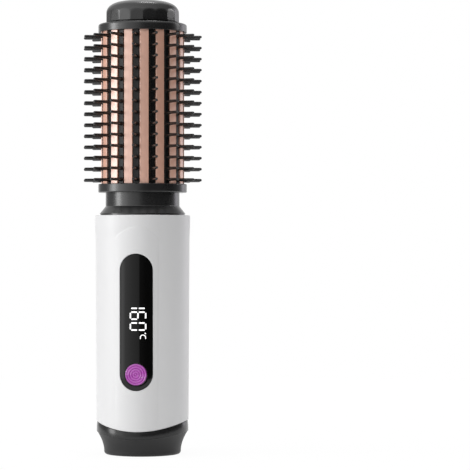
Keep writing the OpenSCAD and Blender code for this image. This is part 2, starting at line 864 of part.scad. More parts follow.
function taper_ring(z, r) = [for (k = [0:base_sides - 1]) let (a = 360 * k / base_sides)
    [r * cos(a), r * sin(a), z]];
function wavy_ring(u) = [for (k = [0:base_sides - 1]) let (
    a = 360 * k / base_sides, edge = band_low(lip_r * cos(a)) - lip_h,
    z = foot_corner + u * (edge - foot_corner), r = foot_r + (lip_r - foot_r) * pow(u, taper_power))
    [r * cos(a), r * sin(a), z]];

module taper() {
    rings = concat(
        [for (k = [0:corner_steps - 1]) let (a = 90 * k / corner_steps)
            taper_ring(foot_corner * (1 - cos(a)), foot_r - foot_corner * (1 - sin(a)))],
        [for (k = [0:taper_levels]) wavy_ring(k / taper_levels)],
        [taper_ring(band_low_front + band_low_rise + 1, lip_r)]);
    n = base_sides;
    top = len(rings) - 1;
    walls = [for (i = [0:top - 1], k = [0:n - 1]) let (a = i * n + k, b = i * n + (k + 1) % n)
        each [[a, b + n, b], [a, a + n, b + n]]];
    floor = [for (k = [1:n - 2]) [0, k, k + 1]];
    lid = [for (k = [1:n - 2]) [top * n, top * n + k + 1, top * n + k]];
    polyhedron(points = [for (ring = rings) each ring], faces = concat(walls, floor, lid));
}

module base_cap() {
    color("#3b3b3b") difference() {
        union() {
            difference() {
                taper();
                wave_above(band_low_front, band_cut_r);
                translate([0, 0, floor_t]) cylinder(h = 30, r = base_bore);
            }
            translate([0, 0, 5]) tube(disc_low - 5, spigot_r, base_bore);
            for (side = [-1, 1]) {
                translate([side * post_x, 0, floor_t - 0.5])
                    cylinder(h = post_low - floor_t + 0.5, r = 3.6);
                translate([-6, side * 8 - 0.75, floor_t - 0.5])
                    cube([12, 1.5, charge_low - floor_t + 0.5]);
            }
        }
        for (side = [-1, 1]) translate([side * post_x, 0, -1]) {
            cylinder(h = post_low + 2, r = 1.4);
            cylinder(h = 4, r = 2.6);
        }
        translate([0, 0, -1]) linear_extrude(height = floor_t + 2) rotate(90) pill(9.5, 3.8);
    }
}

module base_screws() {
    color("silver") for (side = [-1, 1]) translate([side * post_x, 0, 3])
        cross_screw(2.4, 1.8, 1.1, 12);
}

cool_tip();
tip_collar();
tie_bolts();
tie_nuts();
heat_barrel();
for (i = [1:rows]) bristle_strip(i);
heat_spreader_front();
heat_spreader_rear();
ceramic_heater();
insulation_film();
temperature_sensor();
thermal_fuse();
barrel_base_ring();
neck_collar();
neck_screws();
heater_leads();
sensor_leads();
handle_shell();
control_window();
power_button();
button_guide();
tact_switch();
switch_plunger();
display_module();
display_segments();
control_board();
board_screws();
controller_chip();
power_mosfets();
boost_inductor();
filter_capacitors();
lead_connectors();
inner_chassis();
battery_cell_left();
battery_cell_right();
cell_tabs();
cell_pads();
battery_leads();
charge_board();
charge_parts();
usb_c_socket();
charge_leads();
base_ring();
base_cap();
base_screws();
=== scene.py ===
# %% [markdown]
# # A cordless heated round brush
#
# The brush stands on its foot. From the top down it has a black cool tip, a heated barrel with
# rose-gold lands and black bristle strips, a glossy black neck, a white handle with a long black
# window, a purple push button, and a dark foot.
#
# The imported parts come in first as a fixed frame. Every part whose shape is already right stays
# as it is and only gets a finish. The pieces that the eye rests on are built again here as finer
# meshes, in the same places and sizes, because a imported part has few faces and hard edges, and
# light shows both.

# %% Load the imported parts
import json
from math import asin, cos, degrees, hypot, pi, radians, sin, sqrt, tan

import bmesh
import bpy
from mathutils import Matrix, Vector


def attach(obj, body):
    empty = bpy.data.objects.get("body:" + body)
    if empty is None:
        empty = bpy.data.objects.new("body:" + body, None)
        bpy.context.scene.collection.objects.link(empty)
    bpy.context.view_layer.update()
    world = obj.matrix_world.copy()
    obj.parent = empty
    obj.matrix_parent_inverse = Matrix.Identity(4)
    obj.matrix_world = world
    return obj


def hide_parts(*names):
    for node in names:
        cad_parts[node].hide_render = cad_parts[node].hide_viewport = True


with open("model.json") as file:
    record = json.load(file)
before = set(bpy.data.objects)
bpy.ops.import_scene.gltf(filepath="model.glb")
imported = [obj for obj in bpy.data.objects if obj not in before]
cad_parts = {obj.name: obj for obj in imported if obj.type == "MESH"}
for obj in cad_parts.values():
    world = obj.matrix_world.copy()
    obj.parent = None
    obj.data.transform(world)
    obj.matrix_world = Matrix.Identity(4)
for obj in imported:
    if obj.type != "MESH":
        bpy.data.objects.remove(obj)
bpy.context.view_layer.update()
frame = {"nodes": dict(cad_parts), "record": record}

nodes = frame["nodes"]
scene = bpy.context.scene

# %% [markdown]
# ## The camera
#
# A product photo is taken from well back with a long lens, so that the two sides of the object
# stay parallel. The camera stands a little to the right of the brush's front and level with the
# middle of the handle. The brush sits left of the middle of the picture. One could shift the lens
# for that, but a shift stays on when the camera goes round the object, so the camera turns a
# little to the right instead.

# %% Place the camera
camera_side = radians(8.0)
camera_distance, eye_height = 1.051, 0.0976
turn_right, tilt_up = radians(2.371), radians(0.282)
sensor_width, lens_length = 36, 170.9


def towards(angle, radius=1.0, height=0.0):
    """A point at an angle from the camera's side of the brush, in degrees, positive to the right."""
    a = camera_side + radians(angle)
    return Vector((radius * sin(a), -radius * cos(a), height))


def in_scene(name, data):
    """A new object with this data, in the scene."""
    new_object = bpy.data.objects.new(name, data)
    scene.collection.objects.link(new_object)
    return new_object


camera_data = bpy.data.cameras.new("product_camera")
camera_data.sensor_fit = "HORIZONTAL"
camera_data.sensor_width = sensor_width
camera_data.lens = lens_length
camera_data.clip_end = 50
camera = in_scene("product_camera", camera_data)
camera.location = towards(0, camera_distance, eye_height)
heading = turn_right - camera_side
looking = Vector((sin(heading), cos(heading), tan(tilt_up)))
camera.rotation_euler = looking.to_track_quat("-Z", "Y").to_euler()
scene.camera = camera
scene.view_settings.view_transform = "Standard"
print("camera at", [round(c, 3) for c in camera.location])

# %% [markdown]
# ## The studio round the brush
#
# Gloss is only as good as what it reflects. In a studio, a big soft lamp stands at the left, a
# second one stands behind at the right, white boards stand here and there, and dark cloth hangs
# at the right of the camera to keep the black parts black. The lamps could be spot lamps, but
# only a wide area lamp gives the long soft bands that shiny plastic shows.
#
# The boards and the dark cloth are painted into the world: a colour ramp runs once round the
# horizon. The camera itself sees plain white, and so do mirror-like rays that go out behind the
# brush.

# %% Soft lamps
brush_middle = Vector((0, 0, 0.11))


def soft_lamp(name, angle, height, width, tall, watts, away=1.2, colour=(1, 1, 1)):
    """An area lamp that stands round the brush and faces it, with its sizes in metres."""
    lamp = bpy.data.lights.new(name, "AREA")
    lamp.shape = "RECTANGLE"
    lamp.size = width
    lamp.size_y = tall
    lamp.energy = watts
    lamp.color = colour
    holder = in_scene(name, lamp)
    holder.location = towards(angle, away, height)
    aim = brush_middle - holder.location
    holder.rotation_euler = aim.to_track_quat("-Z", "Y").to_euler()
    holder.visible_camera = False
    print(name, "gives", round(watts / (pi * width * tall), 2), "over its face")


soft_lamp("left_softbox", angle=-81, height=0.27, width=0.38, tall=0.62, watts=3.6)
soft_lamp("right_back_softbox", angle=129, height=0.34, width=0.4, tall=0.87, watts=1.1,
          colour=(0.93, 0.89, 1.0))
soft_lamp("right_upper_softbox", angle=104, height=0.54, width=0.15, tall=0.4, watts=1.35)
soft_lamp("top_strip", angle=168, height=1.1, width=0.3, tall=0.12, watts=0.8, away=0.42)

# %% Small helpers for node trees
def add(tree, kind, **settings):
    """A new node with its settings; a number as key sets that input."""
    node = tree.nodes.new(kind)
    for name, value in settings.items():
        if name.startswith("in_"):
            node.inputs[int(name[3:])].default_value = value
        else:
            setattr(node, name, value)
    return node


def feed(tree, socket, value):
    """Gives a socket a plain number, or the output of another node."""
    if isinstance(value, (int, float)):
        socket.default_value = value
    else:
        tree.links.new(value, socket)


def math_node(tree, operation, *values):
    """A math node; each value is a number or another node's output."""
    node = add(tree, "ShaderNodeMath", operation=operation)
    for socket, value in zip(node.inputs, values):
        feed(tree, socket, value)
    return node.outputs[0]


def soft_step(tree, low, high, value):
    """Fades from 0 to 1 while the value goes from low to high."""
    node = add(tree, "ShaderNodeMapRange", interpolation_type="SMOOTHSTEP", in_1=low, in_2=high)
    feed(tree, node.inputs[0], value)
    return node.outputs[0]


def mix_value(tree, share, first, second):
    """The first value where the share is 0, the second where it is 1."""
    node = add(tree, "ShaderNodeMix")
    for number, value in ((0, share), (2, first), (3, second)):
        feed(tree, node.inputs[number], value)
    return node.outputs[0]


# %% Paint the walls of the studio
# Each stop is an angle from the camera's side, positive to the right, and the light there
walls = [(-180, 1.0), (-155, 0.9), (-150, 0.35), (-104, 0.35), (-56, 1.75), (-47, 1.0),
         (-27, 0.66), (-12, 0.5), (-6.6, 0.44), (-5.8, 0.1), (12, 0.035), (102, 0.035),
         (116, 0.2), (129, 0.8), (142, 0.8), (152, 0.9), (180, 1.0)]
brightest = 2.0

world = bpy.data.worlds.new("studio")
scene.world = world
world.use_nodes = True
tree = world.node_tree
tree.nodes.clear()
direction = add(tree, "ShaderNodeSeparateXYZ")
generated = add(tree, "ShaderNodeTexCoord").outputs["Generated"]
tree.links.new(generated, direction.inputs[0])
seen_x, seen_y, seen_z = direction.outputs
# The turn goes from 0 to 1 once round, and the camera's side lies at one half
turn = math_node(tree, "ARCTAN2", seen_x, math_node(tree, "MULTIPLY", seen_y, -1.0))
turn = math_node(tree, "SUBTRACT", turn, camera_side)
turn = math_node(tree, "DIVIDE", turn, 2 * pi)
turn = math_node(tree, "FRACT", math_node(tree, "ADD", turn, 1.5))

ramp = add(tree, "ShaderNodeValToRGB")
ramp.color_ramp.interpolation = "LINEAR"
stops = ramp.color_ramp.elements
while len(stops) > 1:
    stops.remove(stops[-1])
for k, (angle, light) in enumerate(walls):
    stop = stops[0] if k == 0 else stops.new(angle / 360 + 0.5)
    stop.position = angle / 360 + 0.5
    stop.color = (light / brightest,) * 3 + (1,)
tree.links.new(turn, ramp.inputs[0])
wall_light = math_node(tree, "MULTIPLY", ramp.outputs[0], brightest)
print("the walls have", len(stops), "stops")

# %% Add the ceiling and what shines up from below
# From and full are steepnesses: 0 is a level direction, 1 straight up and -1 straight down
ceiling_from, ceiling_full = 0.12, 0.55
ceiling_light, ceiling_lean, ceiling_dark_side = 0.73, 0.75, 135
below_from, below_full = -0.25, -0.4
below_light = 0.7

upward = soft_step(tree, ceiling_from, ceiling_full, seen_z)
downward = soft_step(tree, below_from, below_full, seen_z)
across = add(tree, "ShaderNodeVectorMath", operation="DOT_PRODUCT",
             in_1=towards(ceiling_dark_side))
tree.links.new(generated, across.inputs[0])
lean = math_node(tree, "MULTIPLY", across.outputs["Value"], -ceiling_lean)
ceiling = math_node(tree, "MULTIPLY", math_node(tree, "ADD", lean, 1.0), ceiling_light)
light = mix_value(tree, upward, wall_light, ceiling)
light = mix_value(tree, downward, light, below_light)
print("the ceiling's light is", ceiling_light, "overhead")

# %% Let the camera see plain white
# The background starts this share of a turn away from the camera's side
background_from, background_full = 0.40, 0.44

rays = add(tree, "ShaderNodeLightPath").outputs
mirror = math_node(tree, "ADD", rays["Is Glossy Ray"], rays["Is Transmission Ray"])
away = math_node(tree, "ABSOLUTE", math_node(tree, "SUBTRACT", turn, 0.5))
behind = soft_step(tree, background_from, background_full, away)
mirror = math_node(tree, "MULTIPLY", mirror, behind)
sees_white = math_node(tree, "MAXIMUM", rays["Is Camera Ray"], mirror)
light = mix_value(tree, sees_white, light, 1.0)
background = add(tree, "ShaderNodeBackground", in_0=(1, 1, 1, 1))
tree.links.new(light, background.inputs["Strength"])
tree.links.new(background.outputs[0], add(tree, "ShaderNodeOutputWorld").inputs[0])
print("the world has", len(tree.nodes), "nodes")

# %% [markdown]
# ## The floor
#
# The floor is a plain white sheet. A real white floor in an even light comes out light grey, so
# retouchers lift it to white. More light would lift it too, but would bleach the brush. Here the
# camera and mirror-like rays see mostly white that shines by itself, with a little of the lit
# floor mixed in, which keeps the shadow under the foot. All other rays see an ordinary matt floor.

# %% Make the floor
floor_grey, floor_shine, shine_share = 0.8, 1.03, 0.92
floor_r = 0.6

floor_material = bpy.data.materials.new("white_floor")
floor_material.use_nodes = True
tree = floor_material.node_tree
tree.nodes.clear()
rays = add(tree, "ShaderNodeLightPath").outputs
seen = math_node(tree, "ADD", rays["Is Camera Ray"], rays["Is Glossy Ray"])
seen = math_node(tree, "ADD", seen, rays["Is Transmission Ray"])
matt = add(tree, "ShaderNodeBsdfDiffuse", in_0=(floor_grey, floor_grey, floor_grey, 1))
shining = add(tree, "ShaderNodeEmission", in_0=(1, 1, 1, 1), in_1=floor_shine)
blended = add(tree, "ShaderNodeMixShader")
tree.links.new(math_node(tree, "MULTIPLY", seen, shine_share), blended.inputs[0])
tree.links.new(matt.outputs[0], blended.inputs[1])
tree.links.new(shining.outputs[0], blended.inputs[2])
tree.links.new(blended.outputs[0], add(tree, "ShaderNodeOutputMaterial").inputs[0])

sheet = bmesh.new()
bmesh.ops.create_circle(sheet, cap_ends=True, segments=96, radius=floor_r)
floor_mesh = bpy.data.meshes.new("floor")
sheet.to_mesh(floor_mesh)
sheet.free()
floor_mesh.materials.append(floor_material)
floor = in_scene("floor", floor_mesh)
print("floor is", 2 * floor_r, "m across")

# %% [markdown]
# ## Effects that several finishes share
#
# A moulded plastic skin is never quite even: it has a fine grain from the mould, and its gloss
# varies where hands have touched it. Drawn metal has streaks along its length. Edges of anything
# that is handled are polished first, and the same edge group also lightens convex edges, partly
# as paler rubbed edges and partly as a painted highlight. Each of these could be drawn again in
# every material, but then a mend would have to be made many times. So each is a node group with
# named inputs, and one drawing of nodes serves all materials with their own numbers.

# %% Start a node group
def new_group(name, inputs, outputs):
    """An empty group with its sockets, and its inner input and output nodes."""
    group = bpy.data.node_groups.new(name, "ShaderNodeTree")
    for title, value in inputs:
        kind = "NodeSocketColor" if isinstance(value, tuple) else "NodeSocketFloat"
        socket = group.interface.new_socket(title, in_out="INPUT", socket_type=kind)
        socket.default_value = value
    for title, kind in outputs:
        group.interface.new_socket(title, in_out="OUTPUT", socket_type=kind)
    return group, add(group, "NodeGroupInput").outputs, add(group, "NodeGroupOutput").inputs


def noise(tree, place, scale, detail=2.0, rough=0.5):
    """Cloudy noise from 0 to 1 at a scale in waves per metre."""
    node = add(tree, "ShaderNodeTexNoise")
    node.inputs["Detail"].default_value = detail
    node.inputs["Roughness"].default_value = rough
    tree.links.new(place, node.inputs["Vector"])
    feed(tree, node.inputs["Scale"], scale)
    return node.outputs[0]


def swing(tree, value, amount):
    """One plus or minus half the amount, as a noise value goes from 0 to 1."""
    centred = math_node(tree, "SUBTRACT", value, 0.5)
    return math_node(tree, "ADD", math_node(tree, "MULTIPLY", centred, amount), 1.0)


def tinted(tree, colour, factor):
    """A colour made lighter or darker by a factor."""
    node = add(tree, "ShaderNodeVectorMath", operation="SCALE")
    tree.links.new(colour, node.inputs[0])
    tree.links.new(factor, node.inputs["Scale"])
    return node.outputs[0]


def skin_inputs(pattern, waves):
    """The inputs of a skin, whose pattern has so many waves per metre."""
    return [("Colour", (0.5, 0.5, 0.5, 1)), (pattern, waves), ("Gloss Loss", 0.3),
            ("Handling", 0.3), ("Mottle", 0.1)]


SKIN_OUTPUTS = [("Colour", "NodeSocketColor"), ("Roughness", "NodeSocketFloat"),
                ("Height", "NodeSocketFloat")]

# %% Moulded skin
moulded_skin, given, made = new_group("moulded_skin", skin_inputs("Grains", 2500.0),
                                      SKIN_OUTPUTS)
place = add(moulded_skin, "ShaderNodeTexCoord").outputs["Object"]
grain = noise(moulded_skin, place, given["Grains"], detail=3.0)
touch = noise(moulded_skin, place, scale=55.0, detail=4.0, rough=0.6)
cloud = noise(moulded_skin, place, scale=170.0, detail=3.0)
links = moulded_skin.links
links.new(grain, made["Height"])
links.new(math_node(moulded_skin, "MULTIPLY", given["Gloss Loss"],
                    swing(moulded_skin, touch, given["Handling"])), made["Roughness"])
links.new(tinted(moulded_skin, given["Colour"], swing(moulded_skin, cloud, given["Mottle"])),
          made["Colour"])
print("moulded skin has", len(moulded_skin.nodes), "nodes")

# %% Drawn metal
streak_stretch = 0.012

drawn_metal, given, made = new_group("drawn_metal", skin_inputs("Streaks", 3000.0),
                                     SKIN_OUTPUTS)
place = add(drawn_metal, "ShaderNodeTexCoord").outputs["Object"]
stretched = add(drawn_metal, "ShaderNodeMapping")
stretched.inputs["Scale"].default_value = (1, 1, streak_stretch)
links = drawn_metal.links
links.new(place, stretched.inputs["Vector"])
streak = noise(drawn_metal, stretched.outputs[0], given["Streaks"], detail=3.0)
cloud = noise(drawn_metal, place, scale=240.0, detail=3.0)
links.new(streak, made["Height"])
uneven = math_node(drawn_metal, "MULTIPLY", swing(drawn_metal, streak, given["Handling"]),
                   swing(drawn_metal, cloud, given["Handling"]))
links.new(math_node(drawn_metal, "MULTIPLY", given["Gloss Loss"], uneven), made["Roughness"])
links.new(tinted(drawn_metal, given["Colour"], swing(drawn_metal, streak, given["Mottle"])),
          made["Colour"])
print("drawn metal has", len(drawn_metal.nodes), "nodes")

# %% Edge wear and painted edge highlight
# Pointiness is one half on a flat face and grows where the surface turns outward
rubbed_lit_from, rubbed_lit_full = 0.52, 0.62

edge_wear_and_highlight, given, made = new_group(
    "edge_wear_and_highlight",
    [("Colour", (0.5, 0.5, 0.5, 1)), ("Roughness", 0.3), ("Lift", 0.2), ("Polish", 0.3)],
    SKIN_OUTPUTS[:2])
convex = add(edge_wear_and_highlight, "ShaderNodeMapRange", in_1=rubbed_lit_from, in_2=rubbed_lit_full)
links = edge_wear_and_highlight.links
links.new(add(edge_wear_and_highlight, "ShaderNodeNewGeometry").outputs["Pointiness"], convex.inputs[0])
patchy = noise(edge_wear_and_highlight, add(edge_wear_and_highlight, "ShaderNodeTexCoord").outputs["Object"], scale=900.0)
rubbed_and_lit = math_node(edge_wear_and_highlight, "MULTIPLY", convex.outputs[0], patchy)
# Convex edges come out lighter: partly rubbed paler by hands, partly a painted highlight
lighter = math_node(edge_wear_and_highlight, "ADD", math_node(edge_wear_and_highlight, "MULTIPLY", rubbed_and_lit, given["Lift"]), 1.0)
links.new(tinted(edge_wear_and_highlight, given["Colour"], lighter), made["Colour"])
smoother = math_node(edge_wear_and_highlight, "SUBTRACT", 1.0,
                     math_node(edge_wear_and_highlight, "MULTIPLY", rubbed_and_lit, given["Polish"]))
links.new(math_node(edge_wear_and_highlight, "MULTIPLY", given["Roughness"], smoother), made["Roughness"])
print("groups:", [group.name for group in bpy.data.node_groups])

# %% [markdown]
# ## The finishes
#
# Every finish is one Principled shader. The groups feed only its colour, its roughness and the
# height of its bump. What is the same all over a surface, such as how metallic it is or how thick
# its clear coat is, is written straight on the shader.
#
# The lands carry a thin baked coat with metal flakes in it. A plain metal would turn black where
# it mirrors the dark cloth, so most of the colour here is paint, and a strong, soft coat over it
# gives the pale bands. Black plastic has hardly any colour of its own, so the tip, the pins, the
# window and the foot differ in how much they mirror and how sharply.
#
# One function makes them all, so that their numbers can be compared at a glance.

# %% One way to make a finish
materials = {}


def make_finish(slot, colour, gloss_loss, group=moulded_skin, fine=2500.0, handling=0.3,
                mottle=0.1, relief=0.3, depth=0.00002, lift=0.2, polish=0.3, **shader_values):
    """A material for one record slot: skin or metal, rubbed edges with a painted highlight, then the
    shader.
    """
    material = bpy.data.materials.new(slot)
    material.use_nodes = True
    tree = material.node_tree
    shader = tree.nodes["Principled BSDF"]
    surface = add(tree, "ShaderNodeGroup", node_tree=group)
    surface.inputs["Colour"].default_value = (*colour, 1)
    surface.inputs[1].default_value = fine
    for title, value in (("Gloss Loss", gloss_loss), ("Handling", handling), ("Mottle", mottle)):
        surface.inputs[title].default_value = value
    # This group polishes convex edges and paints a lighter highlight on them, as much as lift says
    rubbed_lit_edges = add(tree, "ShaderNodeGroup", node_tree=edge_wear_and_highlight)
    rubbed_lit_edges.inputs["Lift"].default_value = lift
    rubbed_lit_edges.inputs["Polish"].default_value = polish
    bump = add(tree, "ShaderNodeBump")
    bump.inputs["Strength"].default_value = relief
    bump.inputs["Distance"].default_value = depth
    for start, end in ((surface.outputs["Colour"], rubbed_lit_edges.inputs["Colour"]),
                       (surface.outputs["Roughness"], rubbed_lit_edges.inputs["Roughness"]),
                       (surface.outputs["Height"], bump.inputs["Height"]),
                       (rubbed_lit_edges.outputs["Colour"], shader.inputs["Base Color"]),
                       (rubbed_lit_edges.outputs["Roughness"], shader.inputs["Roughness"]),
                       (bump.outputs["Normal"], shader.inputs["Normal"])):
        tree.links.new(start, end)
    for title, value in shader_values.items():
        shader.inputs[title.replace("_", " ").title().replace("Ior", "IOR")].default_value = value
    materials[slot] = material


# %% Finishes that show from outside
# Lift lightens convex edges: a painted edge highlight, strongest on the black parts
make_finish("gloss_black", (0.0072, 0.0072, 0.0075), 0.28, relief=0.12, mottle=0.06, lift=1.2,
            ior=1.74)
make_finish("bristle_black", (0.006, 0.006, 0.0062), 0.22, relief=0.35, mottle=0.15, lift=1.0,
            ior=1.6)
make_finish("rose_gold", (0.92, 0.34, 0.145), 0.60, group=drawn_metal, fine=2600.0,
            handling=0.25, mottle=0.08, relief=0.1, metallic=0.2, lift=0.2,
            coat_weight=1.0, coat_roughness=0.47, coat_ior=4.6)
make_finish("handle_white", (0.86, 0.86, 0.865), 0.38, relief=0.12, mottle=0.01, lift=0.02,
            fine=3600.0)
make_finish("window_black", (0.002, 0.002, 0.002), 0.03, relief=0.0, mottle=0.05, handling=0.5,
            ior=1.46)
make_finish("display_light", (0.9, 0.9, 0.9), 0.4, relief=0.05, mottle=0.03,
            emission_color=(1, 1, 1, 1), emission_strength=0.7)
make_finish("button_purple", (0.50, 0.07, 0.51), 0.16, relief=0.1, mottle=0.06, lift=0.4,
            coat_weight=0.8, coat_roughness=0.1, coat_ior=1.7)
make_finish("band_black", (0.012, 0.012, 0.0125), 0.2, relief=0.08, mottle=0.06, lift=0.8,
            ior=1.5)
make_finish("base_grey", (0.016, 0.016, 0.0165), 0.5, relief=0.6, mottle=0.12, lift=0.6,
            fine=3200.0, ior=1.42)
print("outer finishes:", list(materials))

# %% Finishes of the hidden parts
hidden_finishes = {
    "inner_plastic": ((0.05, 0.05, 0.052), 0.55, {}),
    "device_black": ((0.02, 0.02, 0.02), 0.45, {}),
    "bare_aluminium": ((0.80, 0.80, 0.81), 0.35, {"group": drawn_metal, "metallic": 1.0}),
    "steel": ((0.62, 0.61, 0.60), 0.3, {"group": drawn_metal, "metallic": 1.0}),
    "ceramic_white": ((0.82, 0.80, 0.74), 0.5, {}),
    "film_amber": ((0.55, 0.24, 0.04), 0.3, {"coat_weight": 0.3}),
    "sensor_bead": ((0.10, 0.12, 0.05), 0.3, {}),
    "lead_red": ((0.5, 0.03, 0.02), 0.42, {}),
    "lead_black": ((0.02, 0.02, 0.02), 0.42, {}),
    "board_green": ((0.02, 0.13, 0.05), 0.35, {"coat_weight": 0.4, "mottle": 0.3}),
    "ferrite": ((0.09, 0.09, 0.095), 0.65, {"relief": 0.8}),
    "connector_white": ((0.75, 0.74, 0.68), 0.45, {}),
    "cell_wrap": ((0.05, 0.16, 0.34), 0.28, {"coat_weight": 0.4}),
    "foam": ((0.06, 0.06, 0.06), 0.9, {"fine": 1800.0, "relief": 1.0, "depth": 0.0001}),
}
for slot, (colour, gloss_loss, more) in hidden_finishes.items():
    make_finish(slot, colour, gloss_loss, **more)
print("finishes in all:", len(materials))

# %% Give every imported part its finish
slot_of = {part["node"]: part["material_slot"] for part in frame["record"]["subparts"]}
for name, part in nodes.items():
    for place in part.material_slots:
        place.material = materials[slot_of[name]]
print("finishes given to", len(nodes), "parts")

# %% [markdown]
# ## Tools for the fine meshes
#
# Nearly every piece here is turned or lofted: a closed outline is carried round in small steps.
# Blender's Screw modifier would do for the turned ones, but not for the wavy seams and the
# flattened front, where the outline changes on the way round. So one helper joins any list of
# rings into a skin, and the others make the rings. All sizes are in millimetres and become metres
# when a piece is made.

# %% Make a piece from points and faces
MM = 0.001
weld, sliver = 0.002, 0.0005


def new_piece(name, points, faces, slot, body="body", crease=38):
    """A mesh object that stands for its CAD node, with smooth shading between sharp creases."""
    mesh = bpy.data.meshes.new(name)
    mesh.from_pydata([[c * MM for c in p] for p in points], [], faces)
    work = bmesh.new()
    work.from_mesh(mesh)
    bmesh.ops.remove_doubles(work, verts=work.verts, dist=weld * MM)
    bmesh.ops.dissolve_degenerate(work, edges=work.edges, dist=sliver * MM)
    # Where an outline touches the axis, the faces along the axis shrink to a loose edge
    loose = [edge for edge in work.edges if not edge.link_faces]
    bmesh.ops.delete(work, geom=loose, context="EDGES")
    bmesh.ops.recalc_face_normals(work, faces=work.faces)
    open_edges = sum(1 for edge in work.edges if len(edge.link_faces) != 2)
    work.to_mesh(mesh)
    work.free()
    mesh.shade_smooth()
    mesh.set_sharp_from_angle(angle=radians(crease))
    mesh.materials.append(materials[slot])
    piece = in_scene(name, mesh)
    even = piece.modifiers.new("even_normals", "WEIGHTED_NORMAL")
    even.keep_sharp = True
    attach(piece, body)
    print(name, len(mesh.polygons), "faces,", open_edges, "open edges")
    return piece


# %% Skins, walls and flat sheets, each as points and faces
def join_rings(rings, closed=True):
    """Four-sided faces that join each ring to the next, and the last to the first if closed."""
    n = len(rings[0])
    points = [p for ring in rings for p in ring]
    count = len(rings) if closed else len(rings) - 1
    faces = []
    for i in range(count):
        a, b = i * n, (i + 1) % len(rings) * n
        faces += [(a + k, a + (k + 1) % n, b + (k + 1) % n, b + k) for k in range(n)]
    return points, faces


def level(loop, height):
    """A flat loop of (x, y) as a ring of points at a height."""
    return [(x, y, height) for x, y in loop]


def upright(loop, heights):
    """A wall that follows a flat loop, with a ring at each height."""
    return join_rings([level(loop, height) for height in heights], closed=False)


def flat_sheet(loops, height):
    """A level sheet between closed loops, such as a plate with holes."""
    work = bmesh.new()
    edges = []
    for loop in loops:
        verts = [work.verts.new([c * MM for c in p]) for p in level(loop, height)]
        edges += [work.edges.new((verts[k - 1], verts[k])) for k in range(len(verts))]
    bmesh.ops.triangle_fill(work, use_beauty=True, use_dissolve=False, edges=edges,
                            normal=(0, 0, 1))
    work.verts.index_update()
    points = [tuple(c / MM for c in v.co) for v in work.verts]
    faces = [tuple(v.index for v in f.verts) for f in work.faces]
    work.free()
    return points, faces


def gather(*parts):
    """Several lists of points and faces as one."""
    points, faces = [], []
    for more_points, more_faces in parts:
        start = len(points)
        points += more_points
        faces += [tuple(i + start for i in face) for face in more_faces]
    return points, faces


# %% Even steps, circles, round edges and blends
def spaced(low, high, steps):
    """Evenly spaced values from low to high, both included."""
    return [low + (high - low) * k / steps for k in range(steps + 1)]


def circle(x, y, radius, steps):
    """A flat loop of points round a middle."""
    return [(x + radius * cos(2 * pi * k / steps),
             y + radius * sin(2 * pi * k / steps)) for k in range(steps)]


def on_ring(angle, radius, z):
    """A point at an angle from the front, in degrees, and a distance from the brush's axis."""
    a = radians(angle)
    return (radius * sin(a), -radius * cos(a), z)


def quarter_round(radius, angles):
    """Points over a round edge, each as its distances inside the two faces that meet there."""
    return [(radius * (1 - cos(radians(b))), radius * (1 - sin(radians(b)))) for b in angles]


def turned(outline, steps=144):
    """Rings of a turned piece round the brush's axis, from an outline of (radius, height)."""
    return [level(circle(0, 0, r, steps), z) for r, z in outline]


def blend_low(a, b, width):
    """The lower of two values, with a soft change-over."""
    h = max(width - abs(a - b), 0) / width
    return min(a, b) - h * h * width / 4


def blend_high(a, b, width):
    """The higher of two values, with a soft change-over."""
    return -blend_low(-a, -b, width)


# %% Outlines with round corners
def round_corners(corners, steps=4):
    """An outline of (across, up, radius) corners, each rounded with that radius."""
    path = []
    for k, (x, y, radius) in enumerate(corners):
        here = Vector((x, y))
        if not radius:
            path.append((x, y))
            continue
        before = Vector(corners[k - 1][:2]) - here
        after = Vector(corners[(k + 1) % len(corners)][:2]) - here
        half = before.angle(after) / 2
        # The rounding takes up less than half of each side, so that two of them always fit
        reach = min(radius / tan(half), before.length / 2.01, after.length / 2.01)
        fitted = reach * tan(half)
        middle = here + (before.normalized() + after.normalized()).normalized() * (
            fitted / sin(half))
        start = here + before.normalized() * reach - middle
        end = here + after.normalized() * reach - middle
        sweep = start.angle_signed(end)
        for s in range(steps + 1):
            t = -sweep * s / steps
            path.append((middle.x + start.x * cos(t) - start.y * sin(t),
                         middle.y + start.x * sin(t) + start.y * cos(t)))
    return path


# %% [markdown]
# ## Cool tip
#
# The tip is the cap that fingers may touch while the barrel is hot. It is moulded as a dome and
# cut by eighteen flat facets for grip. The flats end in arches where they meet the dome. Cutting
# with planes would leave knife edges, so the dome and the flats are blended as radii: in each
# direction the radius is the lower of the two, with a soft change-over, which gives each ridge
# and arch the small round that a mould has.

# %% The tip's facets and dome
facets, facet_turn = 18, -1.2
facet_pitch = 360 / facets
ridge_r = 17.3
flat_r = ridge_r * cos(pi / facets)
ridge_blend, arch_blend = 0.09, 0.16
dome_r, dome_h, dome_power = 17.35, 8.7, 3.3
tip_low, tip_high, tip_edge = 202.5, 213.0, 0.3
tip_bore, cavity_r, cavity_low, cavity_h = 15.3, 15.05, 206.0, 5.0
# Inside this radius the dome is alone, without facets
plain_dome_r = 15


def facet_limit(angle):
    """Radius at which the flats stop, at an angle in degrees from the front."""
    off = abs((angle + facet_pitch / 2) % facet_pitch - facet_pitch / 2)
    near = flat_r / cos(radians(off))
    far = flat_r / cos(radians(facet_pitch - off))
    return blend_low(near, far, ridge_blend)


def tip_radius(dome_radius, angle):
    """Radius of the tip where the dome alone would have this radius."""
    if dome_radius <= plain_dome_r:
        return dome_radius
    return blend_low(dome_radius, facet_limit(angle), arch_blend)


def dome(radius, height, low, steps):
    """Radii and heights of a squarish dome, from its foot to its top."""
    side = [(radius * cos(radians(t)) ** (2 / dome_power),
             low + height * sin(radians(t)) ** (2 / dome_power)) for t in spaced(0, 90, steps)[:-1]]
    return side + [(0.0, low + height)]


print("a ridge stands", round(facet_limit(facet_pitch / 2) - flat_r, 2), "mm above the flats")

# %% Build the cool tip
facet_steps, dome_steps, cavity_steps = 14, 44, 12

